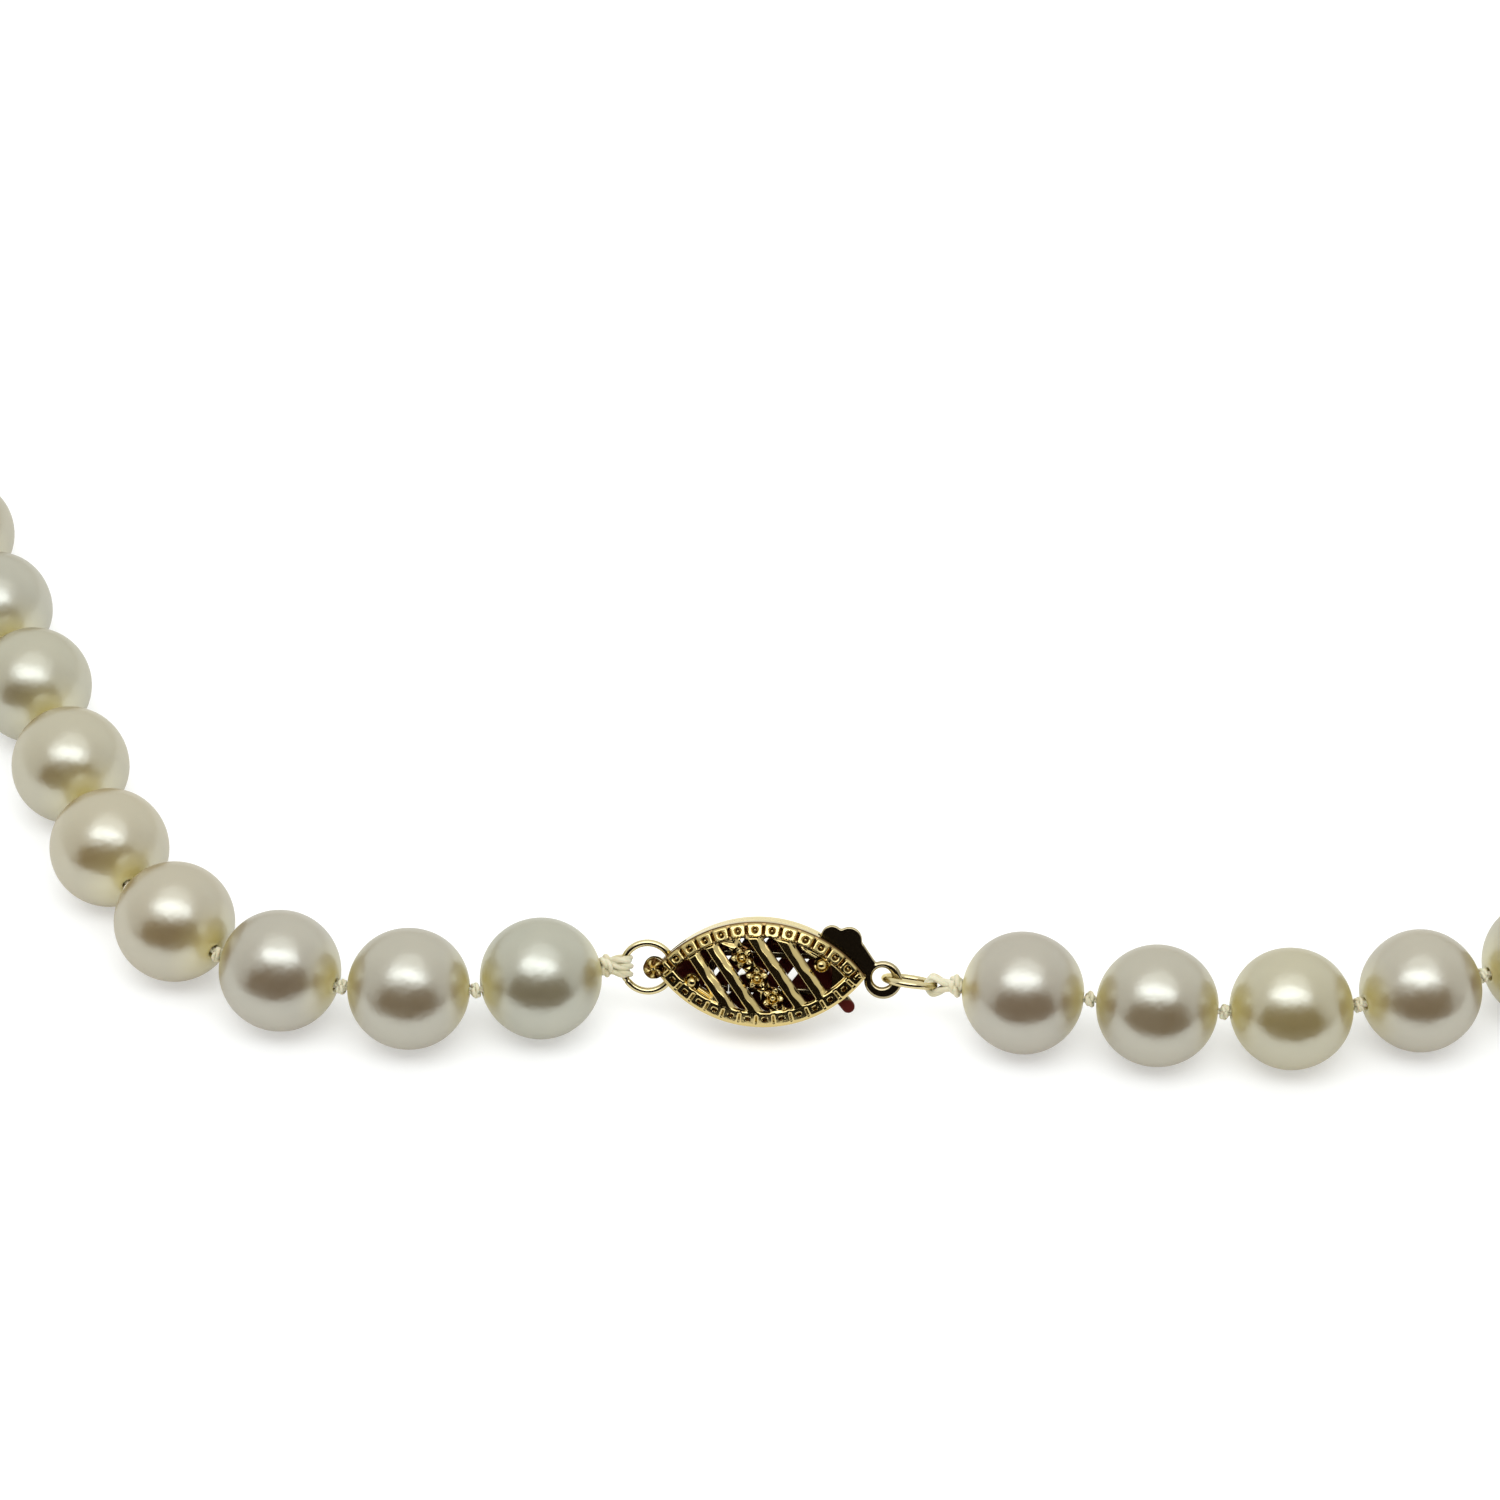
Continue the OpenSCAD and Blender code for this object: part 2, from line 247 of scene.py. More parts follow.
def plate(build, solid, top, bottom, span, cell, mark=None):
    """A plate over the region where solid(x, y) is positive, between two height fields.

    Its edge is cut exactly along the region's outline, by marching through a square grid.
    """
    x0, x1, y0, y1 = span
    nx, ny = int((x1 - x0) / cell) + 1, int((y1 - y0) / cell) + 1
    xs, ys = x0 + cell * np.arange(nx + 1), y0 + cell * np.arange(ny + 1)
    gx, gy = np.meshgrid(xs, ys, indexing="ij")
    f = solid(gx, gy)
    f = np.where(np.abs(f) < 0.04 * cell, 0.04 * cell, f)
    points = []
    index = {}

    def node(i, j):
        key = (i, j)
        if key not in index:
            index[key] = len(points)
            points.append((xs[i], ys[j]))
        return index[key]

    def crossing(i, j, m, n):
        key = (i, j, m, n) if (i, j) < (m, n) else (m, n, i, j)
        if key not in index:
            t = f[i, j] / (f[i, j] - f[m, n])
            index[key] = len(points)
            points.append((xs[i] + t * (xs[m] - xs[i]), ys[j] + t * (ys[n] - ys[j])))
        return index[key]

    faces, rims = [], []
    inside = f > 0
    some = inside[:-1, :-1] | inside[1:, :-1] | inside[:-1, 1:] | inside[1:, 1:]
    for i, j in zip(*np.nonzero(some)):
        corners = [(i, j), (i + 1, j), (i + 1, j + 1), (i, j + 1)]
        state = [inside[c] for c in corners]
        if all(state):
            faces.append([node(*c) for c in corners])
            continue
        if sum(state) == 2 and state[0] == state[2]:
            for k in range(4):
                if state[k]:
                    c, before, after = corners[k], corners[k - 1], corners[(k + 1) % 4]
                    first, last = crossing(*c, *before), crossing(*c, *after)
                    faces.append([first, node(*c), last])
                    rims.append((last, first))
            continue
        loop, cut = [], []
        for k in range(4):
            c, after = corners[k], corners[(k + 1) % 4]
            if state[k]:
                loop.append(node(*c))
            if state[k] != state[(k + 1) % 4]:
                v = crossing(*c, *after)
                loop.append(v)
                cut.append((v, state[k]))
        leaving = [v for v, was_inside in cut if was_inside][0]
        entering = [v for v, was_inside in cut if not was_inside][0]
        faces.append(loop)
        rims.append((leaving, entering))
    p = np.array(points)
    upper, lower = top(p[:, 0], p[:, 1]), bottom(p[:, 0], p[:, 1])
    n = len(p)
    verts = np.vstack([np.c_[p, upper], np.c_[p, lower]])
    all_faces = [tuple(q) for q in faces]
    all_faces += [tuple(n + v for v in reversed(q)) for q in faces]
    all_faces += [(a, n + a, n + b, b) for a, b in rims]
    marks = None
    if mark is not None:
        marks = np.vstack([mark(p[:, 0], p[:, 1], True), mark(p[:, 0], p[:, 1], False)]).tolist()
    build.add(verts, all_faces, marks)


# ---------------------------------------------------------------- where things are

def middle(node):
    low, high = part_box(node)
    return (low + high) / 2


def clasp_matrix():
    """The clasp's own frame: x along it, y across it, z out of its front."""
    ring_post, cross_post = middle("ring_post"), middle("cross_post")
    x = (cross_post - ring_post).normalized()
    z = Vector(JOINTS["release_trigger"]["axis"]).normalized()
    y = z.cross(x).normalized()
    z = x.cross(y)
    at = ring_post - x * RING_POST_X * MM
    m = Matrix((x, y, z)).transposed().to_4x4()
    m.translation = at
    return m


CLASP = clasp_matrix()


def clasp_point(x, y, z):
    """A point of the clasp, in the necklace's frame, in millimetres."""
    return np.array(CLASP @ Vector((x * MM, y * MM, z * MM))) / MM


def islands(node):
    """The separate solids of a node: for each, its vertices and its faces' centres and normals."""
    mesh = frame["nodes"][node].data
    verts = np.array([v.co for v in mesh.vertices]) / MM
    keys = {}
    same = np.zeros(len(verts), int)
    for i, v in enumerate(verts):
        same[i] = keys.setdefault(tuple(np.round(v, 4)), i)
    parent = list(range(len(verts)))

    def root(i):
        while parent[i] != i:
            parent[i] = parent[parent[i]]
            i = parent[i]
        return i

    for e in mesh.edges:
        a, b = root(same[e.vertices[0]]), root(same[e.vertices[1]])
        parent[a] = b
    groups = {}
    for poly in mesh.polygons:
        groups.setdefault(root(same[poly.vertices[0]]), []).append(poly)
    out = []
    for polys in groups.values():
        ids = sorted({v for poly in polys for v in poly.vertices})
        centres = np.array([poly.center for poly in polys]) / MM
        out.append((verts[ids], centres, np.array([poly.normal for poly in polys])))
    return out


def pearl_places(node):
    """Centre and drill direction of each pearl in a node."""
    out = []
    for verts, centres, normals in islands(node):
        fit = np.linalg.lstsq(np.c_[2 * verts, np.ones(len(verts))], (verts ** 2).sum(1),
                              rcond=None)[0]
        c = fit[:3]
        away = centres - c
        radial = np.abs((away * normals).sum(1)) / np.linalg.norm(away, axis=1)
        hole = normals[radial < 0.6]
        axis = np.linalg.eigh(hole.T @ hole)[1][:, 0]
        out.append((c, axis))
    return out


def strand():
    """All pearls in order from the left of the clasp round to its right, drilled forward."""
    loose = []
    for node in frame["nodes"]:
        if node.startswith("pearl"):
            loose += [(c, a, node) for c, a in pearl_places(node)]
    at = middle("pearl_01") / MM
    found = []
    while loose:
        k = min(range(len(loose)), key=lambda i: np.linalg.norm(loose[i][0] - np.array(at)))
        c, a, node = loose.pop(k)
        found.append([c, a, node])
        at = c
    for i, pearl in enumerate(found):
        before, after = found[max(0, i - 1)][0], found[min(len(found) - 1, i + 1)][0]
        if np.dot(pearl[1], after - before) < 0:
            pearl[1] = -pearl[1]
    return found


STRAND = strand()
KNOTS = [STRAND[0][0] - HALF_PITCH * STRAND[0][1]] + [c + HALF_PITCH * a for c, a, _ in STRAND]


# ---------------------------------------------------------------- materials

def new_material(name):
    material = bpy.data.materials.new(name)
    material.use_nodes = True
    tree = material.node_tree
    return material, tree, tree.nodes["Principled BSDF"]


def add_node(tree, kind, inputs=None, **settings):
    made = tree.nodes.new(kind)
    for key, value in settings.items():
        setattr(made, key, value)
    for key, value in (inputs or {}).items():
        made.inputs[key].default_value = value
    return made


def noise(tree, scale, detail=3.0, roughness=0.5):
    """Solid noise, scale in features per metre."""
    where = add_node(tree, "ShaderNodeTexCoord")
    made = add_node(tree, "ShaderNodeTexNoise",
                    {"Scale": scale, "Detail": detail, "Roughness": roughness})
    tree.links.new(where.outputs["Object"], made.inputs["Vector"])
    return made.outputs["Fac"]


def ramp(tree, factor, stops):
    """A colour for each value of factor, from two or more (place, colour) stops."""
    made = tree.nodes.new("ShaderNodeValToRGB")
    for i, (place, colour) in enumerate(stops):
        stop = made.color_ramp.elements[i] if i < 2 else made.color_ramp.elements.new(place)
        stop.position = place
        stop.color = (*colour, 1.0)
    tree.links.new(factor, made.inputs["Fac"])
    return made.outputs["Color"]


def blend_colours(tree, factor, first, second):
    made = add_node(tree, "ShaderNodeMix", data_type="RGBA")
    for socket, value in ((made.inputs[0], factor), (made.inputs[6], first),
                          (made.inputs[7], second)):
        if isinstance(value, tuple):
            socket.default_value = (*value, 1.0)
        else:
            tree.links.new(value, socket)
    return made.outputs[2]


def channel(tree, index):
    """One channel of the mesh's marks, which say where painted shade (in the gold's recesses and inside the
    shell), the painted glow at the pearls' drill holes, and tints are.
    """
    marks = add_node(tree, "ShaderNodeAttribute", attribute_name="marks")
    split = tree.nodes.new("ShaderNodeSeparateColor")
    tree.links.new(marks.outputs["Color"], split.inputs["Color"])
    return split.outputs[index]


def bump(tree, height, strength, distance, normal=None):
    made = add_node(tree, "ShaderNodeBump", {"Strength": strength, "Distance": distance})
    tree.links.new(height, made.inputs["Height"])
    if normal is not None:
        tree.links.new(normal, made.inputs["Normal"])
    return made.outputs["Normal"]


def range_of(tree, value, low, high):
    made = add_node(tree, "ShaderNodeMapRange", {"To Min": low, "To Max": high})
    tree.links.new(value, made.inputs["Value"])
    return made.outputs["Result"]


def nacre():
    """Nacre: a warm body under a bright, broad, colourless sheen.

    Marks give a painted glow at the drill holes, yellow reflected light from the silk and the next pearl painted
    into the colour, and a pearl's warmth and its rosiness.
    """
    material, tree, shader = new_material("nacre")
    link = tree.links.new
    base = ramp(tree, noise(tree, 420, 4), [(0.3, (0.15, 0.12, 0.06)), (0.7, (0.19, 0.155, 0.085))])
    warm = blend_colours(tree, channel(tree, 1), base, (0.27, 0.19, 0.03))
    rosy = blend_colours(tree, channel(tree, 2), warm, (0.19, 0.085, 0.055))
    # Painted glow: yellow reflected light from the silk and the next pearl, painted near the drill holes
    painted_glow = blend_colours(tree, channel(tree, 0), rosy, (0.66, 0.55, 0.20))
    link(painted_glow, shader.inputs["Base Color"])
    link(range_of(tree, noise(tree, 900, 3), 0.26, 0.36), shader.inputs["Roughness"])
    fine = bump(tree, noise(tree, 5200, 4), 0.1, 0.00002)
    orange_peel = bump(tree, noise(tree, 800, 2), 0.8, 0.00005, fine)
    link(orange_peel, shader.inputs["Normal"])
    shader.inputs["IOR"].default_value = 3.6
    shader.inputs["Specular Tint"].default_value = (0.95, 1.0, 0.93, 1.0)
    shader.inputs["Subsurface Weight"].default_value = 0.15
    shader.inputs["Subsurface Radius"].default_value = (1.0, 0.8, 0.5)
    shader.inputs["Subsurface Scale"].default_value = 0.0008
    return material


def gold(name, colour, dark, rough):
    """Polished gold: marks give painted shade, darker in the pits and grooves and dark red inside the shell."""
    material, tree, shader = new_material(name)
    link = tree.links.new
    pale = tuple(min(1.0, c * 1.06) for c in colour)
    base = ramp(tree, noise(tree, 1500, 3), [(0.35, colour), (0.65, pale)])
    # Painted shade in the pits and grooves, darkest where the face is sunk deepest
    painted_recess_shade = blend_colours(tree, channel(tree, 0), base, dark)
    # Painted shade: dark red, and less metallic, on the faces inside the shell
    inside = blend_colours(tree, channel(tree, 1), painted_recess_shade, (0.085, 0.012, 0.01))
    link(inside, shader.inputs["Base Color"])
    link(range_of(tree, noise(tree, 3500, 3), *rough), shader.inputs["Roughness"])
    ripple = bump(tree, noise(tree, 1300, 2), 0.22, 0.00006)
    link(bump(tree, noise(tree, 9000, 3), 0.1, 0.00001, ripple), shader.inputs["Normal"])
    # Less metallic where the dark red painted shade of the inside is
    link(range_of(tree, channel(tree, 1), 1.0, 0.25), shader.inputs["Metallic"])
    shader.inputs["Specular Tint"].default_value = (0.84, 0.78, 0.52, 1.0)
    return material


def silk():
    """Cream silk, yellowed in places."""
    material, tree, shader = new_material("silk")
    link = tree.links.new
    colour = ramp(tree, noise(tree, 700, 3), [(0.35, (0.56, 0.50, 0.31)), (0.65, (0.72, 0.68, 0.52))])
    link(colour, shader.inputs["Base Color"])
    link(range_of(tree, noise(tree, 2500, 2), 0.45, 0.7), shader.inputs["Roughness"])
    link(bump(tree, noise(tree, 12000, 4), 0.5, 0.00003), shader.inputs["Normal"])
    shader.inputs["Sheen Weight"].default_value = 0.3
    shader.inputs["Subsurface Weight"].default_value = 0.1
    shader.inputs["Subsurface Scale"].default_value = 0.0003
    return material


NACRE = nacre()
# The second colour is the painted shade in the shells' pits and grooves
GOLD = gold("yellow_gold", (0.55, 0.43, 0.185), (0.11, 0.055, 0.018), (0.06, 0.14))
PALE_GOLD = gold("pale_gold", (0.58, 0.49, 0.28), (0.3, 0.2, 0.1), (0.08, 0.16))
# A darker copy of the gold for the hook and spring leg: painted shade
SHADED_GOLD = gold("shaded_gold", (0.36, 0.30, 0.18), (0.12, 0.06, 0.02), (0.07, 0.13))
SILK = silk()


# ---------------------------------------------------------------- pearls

# Warmth and rosiness of the pearls beside the clasp, by number; the others draw their own
TINTS = {1: (0.1, 0.05), 2: (0.2, 0.3), 3: (0.15, 0.35), 4: (0.7, 0.35), 5: (0.85, 0.3),
         6: (0.65, 0.2), 7: (0.4, 0.1), 58: (0.2, 0.4), 57: (0.3, 0.3), 56: (0.75, 0.1),
         55: (0.35, 0.35), 54: (0.4, 0.2)}


def pearl_profile():
    """Half outline of a drilled pearl: the bore, its softened mouth, and the round."""
    mouth = math.asin((DRILL_R + 0.07) / PEARL_R)
    bore = [(z, DRILL_R - 0.02) for z in (-2.4, 0.0, 2.4, 3.3)]
    lip = [(3.40, DRILL_R - 0.01), (3.452, DRILL_R + 0.02)]
    step = (math.pi - 2 * mouth) / PEARL_STEPS
    angles = [mouth + step * i for i in range(PEARL_STEPS + 1)]
    round_part = [(PEARL_R * math.cos(a), PEARL_R * math.sin(a)) for a in angles]
    return bore + lip + round_part + [(-z, r) for z, r in reversed(lip)] + [(-3.3, DRILL_R - 0.02)]


def ring_faces(rows, segments):
    """Quads of a closed profile turned round an axis."""
    faces = []
    for i in range(rows):
        a, b = i * segments, ((i + 1) % rows) * segments
        faces += [(a + k, b + k, b + (k + 1) % segments, a + (k + 1) % segments)
                  for k in range(segments)]
    return faces


def add_pearl(build, number, centre, axis):
    """One pearl, a few hundredths of a millimetre off true as a real one is."""
    own = random.Random(number)
    profile = pearl_profile()
    segments = PEARL_SEGMENTS
    across = np.cross(axis, [0.0, 0.0, 1.0])
    across /= np.linalg.norm(across)
    up = np.cross(axis, across)
    waves = [(np.array([own.gauss(0, 1) for _ in range(3)]), own.uniform(0, 6.28)) for _ in range(5)]
    warmth, rose = TINTS.get(number, (own.uniform(0.1, 0.6), own.uniform(0.05, 0.5)))
    turn = own.uniform(0, 2 * math.pi) + np.arange(segments) * 2 * math.pi / segments
    out = np.cos(turn)[:, None] * across + np.sin(turn)[:, None] * up
    z, r = np.array(profile).T
    p = (z[:, None, None] * axis + r[:, None, None] * out).reshape(-1, 3)
    off = sum(np.sin(2 * p @ w / PEARL_R + phase) for w, phase in waves) * 0.01 - 0.03
    verts = centre + p * (1 + off / PEARL_R)[:, None]
    # Painted glow near the drill holes, standing in for reflected light from the silk and the next pearl
    painted_glow = np.repeat(np.clip(1 - r / PAINTED_GLOW_R, 0, 1) ** 1.3, segments)
    marks = np.c_[painted_glow, np.full_like(painted_glow, warmth), np.full_like(painted_glow, rose)]
    build.add(verts.tolist(), ring_faces(len(profile), segments), marks.tolist())


def pearls():
    by_node = {}
    for i, (centre, axis, node) in enumerate(STRAND):
        by_node.setdefault(node, []).append((i + 1, centre, axis))
    for node, members in sorted(by_node.items()):
        build = Build()
        for number, centre, axis in members:
            add_pearl(build, number, centre, axis)
        fit_piece(build.make(node + "_nacre", NACRE), node)


# ---------------------------------------------------------------- thread

def knot_cord(build, at, axis, size=1.0, phase=0.0):
    """An overhand knot pulled tight: a cord wound as a (2, 3) torus knot round the thread."""
    ring, swing, steps = KNOT_R * size, KNOT_SWING * size, 84
    across = np.cross(axis, [0.0, 0.0, 1.0])
    across /= np.linalg.norm(across)
    up = np.cross(axis, across)
    t = np.linspace(0, 2 * math.pi, steps + 1)
    around = 2 * t + phase
    r = ring + swing * np.cos(3 * t)
    path = (at + r[:, None] * (np.cos(around)[:, None] * across + np.sin(around)[:, None] * up)
            + (swing * 1.05 * np.sin(3 * t))[:, None] * axis)
    twisted(build, path, KNOT_PLY_R * size, 0.06 * size, 1.3, sides=8, phase=phase)


def knot_axis(k):
    a = STRAND[max(0, k - 1)][1] + STRAND[min(PEARL_COUNT - 1, k)][1]
    return a / np.linalg.norm(a)


def thread_in_pearl(build, n):
    """The doubled thread through pearl n, from the knot before it to the knot after it."""
    start, end = KNOTS[n - 1], KNOTS[n]
    ahead = (end - start) / np.linalg.norm(end - start)
    first = OPEN_KNOT_REACH if n == OPEN_KNOT + 1 else KNOT_REACH
    path = np.linspace(start + first * ahead, end - KNOT_REACH * ahead, 40)
    twisted(build, path, 0.1, 0.105, 1.5, plies=3, sides=6, phase=n)


def end_loops(build, wire, along, knot):
    """Turns of thread from the end knot round a ring's wire and back."""
    out = (knot - wire) / np.linalg.norm(knot - wire)
    across = np.cross(out, along)
    across /= np.linalg.norm(across)
    reach = float(np.linalg.norm(knot - wire))
    own = random.Random(LOOP_TURNS)
    for i in range(LOOP_TURNS):
        place = (i - (LOOP_TURNS - 1) / 2) * LOOP_PITCH
        lean = own.uniform(-0.05, 0.05)
        r = LOOP_R + own.uniform(0, 0.03)
        neck = wire + out * 0.55 * reach + along * place * 0.7
        points = [knot + across * 0.06 + along * place * 0.3, neck + across * 0.16 + along * lean]
        for a in range(0, 181, 30):
            c, d = r * math.cos(math.radians(a)), r * math.sin(math.radians(a))
            points.append(wire + across * c - out * d + along * (place + lean * (1 - a / 90)))
        points += [neck - across * 0.16 - along * lean, knot - across * 0.06 + along * place * 0.3]
        twisted(build, smooth_path(points, 6), LOOP_PLY_R, 0.08, 2.2, sides=8, phase=i)


def threads():
    left_wire = clasp_point(LEFT_RING_X - RING_R, 0, 0)
    ends = {1: (left_wire, np.array(CLASP.to_3x3() @ Vector((0, 1, 0))), 0),
            PEARL_COUNT: (right_wire_point(), np.array(CLASP.to_3x3() @ Vector((0, 0, 1))), PEARL_COUNT)}
    numbers = {}
    for i, (_, _, node) in enumerate(STRAND):
        numbers.setdefault(BODY_OF[node], []).append(i + 1)
    for node in sorted(n for n in frame["nodes"] if n.startswith("thread")):
        mine = numbers[BODY_OF[node]]
        left = node.startswith("thread_left")
        build = Build()
        knots = {n if left else n - 1 for n in mine} - (set() if left else {OPEN_KNOT})
        for n in mine:
            thread_in_pearl(build, n)
            if n in ends:
                wire, along, k = ends[n]
                knots.add(k)
                end_loops(build, wire, along, KNOTS[k])
        for k in sorted(knots):
            size = END_KNOT_SIZE if k in (0, PEARL_COUNT) else OPEN_KNOT_SIZE if k == OPEN_KNOT else 1.0
            knot_cord(build, KNOTS[k], knot_axis(k), size, phase=rng.uniform(0, 6.28))
        fit_piece(build.make(node + "_silk", SILK), node)


# ---------------------------------------------------------------- clasp

def smoothstep(value):
    v = np.clip(value, 0, 1)
    return v * v * (3 - 2 * v)


def soft_min(a, b, k):
    h = np.clip(0.5 + 0.5 * (b - a) / k, 0, 1)
    return b + (a - b) * h - k * h * (1 - h)


def outline_depth(x, y):
    """How far a point is inside the marquise."""
    return ARC_R - np.hypot(x, np.abs(y) + ARC_Y)


def across_bar(x, y, at):
    return -(x - at) * math.sin(BAR_ANGLE) + y * math.cos(BAR_ANGLE)


def along_bar(x, y, at):
    return (x - at) * math.cos(BAR_ANGLE) + y * math.sin(BAR_ANGLE)


def column_edge(x, y):
    """Half width of the floret column at a point, wider at each floret."""
    along = along_bar(x - FLORETS[1][0], y - FLORETS[1][1], 0)
    return COLUMN_HALF - 0.1 + 0.1 * np.cos(2 * math.pi * along / FLORET_PITCH)


def scroll_width(x, y):
    """How far the scrolls at the two ends widen the rim inward."""
    width = np.zeros(np.shape(x))
    for side, at, wide in SCROLLS:
        width = np.where(side * y > 0, wide * np.exp(-((x - at) / 0.8) ** 4), width)
    return width


def window_depth(x, y, bar_half):
    """How far a point is inside one of the pierced windows."""
    back = bar_half == BACK_BAR_HALF
    w = outline_depth(x, y) - RIM_W - scroll_width(x, y) - (BACK_RIM_EXTRA if back else 0)
    left, right = BACK_WINDOWS_X if back else HOLLOW_X
    w = soft_min(w, np.minimum(x - left, right - x), 0.3)
    for at in BARS_X:
        w = soft_min(w, np.abs(across_bar(x, y, at)) - bar_half, 0.24)
    w = soft_min(w, np.abs(across_bar(x, y, COLUMN_X)) - column_edge(x, y), 0.2)
    for (bx, by), r in [(p, FLORET_R) for p in FLORETS] + [(p, END_BEAD_R) for p in END_BEADS]:
        w = soft_min(w, np.hypot(x - bx, y - by) - r, 0.1)
    return w


def shell_solid(x, y, bar_half):
    knuckle = KNUCKLE[2] - np.hypot(x - KNUCKLE[0], y - KNUCKLE[1])
    return np.minimum(np.maximum(outline_depth(x, y), knuckle), -window_depth(x, y, bar_half))


def dome_z(x, y):
    return CLASP_T / 2 - DOME_R + np.sqrt(DOME_R ** 2 - x ** 2 - y ** 2)


def rounded_box(u, v, half_u, half_v, corner):
    """Distance outside a box with rounded corners."""
    a, b = np.abs(u) - half_u + corner, np.abs(v) - half_v + corner
    return np.hypot(np.maximum(a, 0), np.maximum(b, 0)) + np.minimum(np.maximum(a, b), 0) - corner


def rim_height(x, y):
    """The milled rim: dimpled blocks above, and below them pits between short ticks."""
    around = np.arctan2(x, np.abs(y) + ARC_Y) * (ARC_R - RIM_W / 2)
    upper = y > 0
    u = (around - np.where(upper, UPPER_CELLS_X, LOWER_CELLS_X)) / CELL + 0.5
    u = (u - np.floor(u) - 0.5) * CELL
    depth = outline_depth(x, y)
    v = depth - 0.45
    block = smoothstep(0.5 - rounded_box(u, v, 0.4, 0.34, 0.12) / 0.07)
    floor = np.where(upper, -0.13, -0.035)
    hollow = np.hypot(u, v)
    dimple = -0.16 * smoothstep((0.22 - hollow) / 0.1) + 0.07 * smoothstep((0.1 - hollow) / 0.06)
    pit = -0.17 * smoothstep(0.5 - rounded_box(u, v, 0.13, 0.09, 0.06) / 0.06)
    tick = -0.08 * np.exp(-((CELL / 2 - np.abs(u)) / 0.035) ** 2) * smoothstep((0.26 - np.abs(v)) / 0.08)
    return floor * (1 - block) + np.where(upper, dimple, pit) + tick


def rim_bevel(x, y):
    """How far the rim falls toward the outline."""
    return np.where(y > 0, 0.13, 0.2) * np.maximum(RIM_W - outline_depth(x, y), 0)


def flower(r, phi, turn):
    """A floret: five pointed leaves round a collar that holds a bead."""
    leaf = np.abs(2 * np.mod(phi * 5 / (2 * math.pi) + turn, 1) - 1)
    leaves = -0.27 + (0.12 + 0.15 * leaf) * smoothstep((0.38 + 0.32 * leaf - r) / 0.06)
    collar = 0.12 * np.exp(-((r - 0.31) / 0.06) ** 2) - 0.1 * np.exp(-((r - 0.22) / 0.03) ** 2)
    bead = np.sqrt(np.maximum(0.2 ** 2 - r ** 2, 0)) * 1.1 - 0.16
    flat = leaves + collar
    return np.where(r < 0.2, np.maximum(bead, flat), flat)


def end_bead(r, phi, turn):
    """A bead in a curl that opens to one side."""
    curl = -0.24 + 0.22 * np.exp(-((r - 0.4) / 0.07) ** 2) * smoothstep(0.8 + np.cos(phi - turn))
    bead = np.sqrt(np.maximum(0.29 ** 2 - r ** 2, 0)) * 0.9 - 0.12
    return np.where(r < 0.29, np.maximum(bead, curl), curl)


def shell_top(x, y, bar_half=BAR_HALF):
    """Height of a shell's face: milled rim, bevelled bars, florets and end beads."""
    depth = outline_depth(x, y)
    z = dome_z(x, y)
    inner = depth - RIM_W
    scroll = scroll_width(x, y)
    panel = -0.22 + 0.16 * np.exp(-((inner - 0.6 * scroll) / 0.11) ** 2) * smoothstep(scroll / 0.2)
    for at in BARS_X:
        d, along = across_bar(x, y, at), along_bar(x, y, at)
        ridge = 0.05 * np.sin(2.3 * along + 7 * at) + 0.025 * np.sin(6.1 * along + 3 * at)
        bar = -0.03 - 0.72 * np.maximum(d - 0.05 - ridge, 0) - 0.9 * np.maximum(-bar_half + 0.06 - d, 0)
        panel = np.where(np.abs(d) < bar_half + 0.2, np.maximum(panel, bar), panel)
    d, along = np.abs(across_bar(x, y, COLUMN_X)), along_bar(x, y, COLUMN_X)
    leafy = -0.25 + 0.15 * np.abs(np.sin(math.pi * (2 * along / FLORET_PITCH + d / 0.8)))
    panel = np.where(d < column_edge(x, y) + 0.1, np.maximum(panel, leafy), panel)
    for i, (bx, by) in enumerate(FLORETS):
        r, phi = np.hypot(x - bx, y - by), np.arctan2(y - by, x - bx)
        panel = np.where(r < FLORET_R + 0.05, flower(r, phi, 1.3 * i + 0.4), panel)
    for (bx, by), turn in zip(END_BEADS, (2.4, -0.7)):
        r, phi = np.hypot(x - bx, y - by), np.arctan2(y - by, x - bx)
        panel = np.where(r < END_BEAD_R + 0.05, end_bead(r, phi, turn), panel)
    inside = smoothstep((inner + 0.06) / 0.12)
    height = z + (rim_height(x, y) - rim_bevel(x, y)) * (1 - inside) + panel * inside
    knuckle_r = np.hypot(x - KNUCKLE[0], y - KNUCKLE[1])
    swirl = np.cos(5 * np.arctan2(y, x - KNUCKLE[0]) + 5 * knuckle_r)
    knuckle_z = 0.8 + 0.12 * swirl * smoothstep(knuckle_r / 0.3) - 0.36 * (knuckle_r / KNUCKLE[2]) ** 4
    knuckle = smoothstep((KNUCKLE[2] + 0.03 - knuckle_r) / 0.14)
    height = np.where(x < -CLASP_L / 2 + 0.1, knuckle_z, height + (knuckle_z - height) * knuckle)
    edge = np.clip(shell_solid(x, y, bar_half) / 0.1, 0, 1)
    return np.maximum(height - 0.03 * (1 - edge) ** 2, SLOT + 0.05)


def shell_bottom(x, y):
    depth = outline_depth(x, y)
    under = dome_z(x, y) - 0.66
    open_part = smoothstep((depth - WALL) / 0.06) * smoothstep((x - HOLLOW_X[0] + 0.1) / 0.1)
    open_part = open_part * smoothstep((HOLLOW_X[1] + 0.1 - x) / 0.1)
    return np.maximum(SLOT * (1 - open_part) + under * open_part, SLOT)


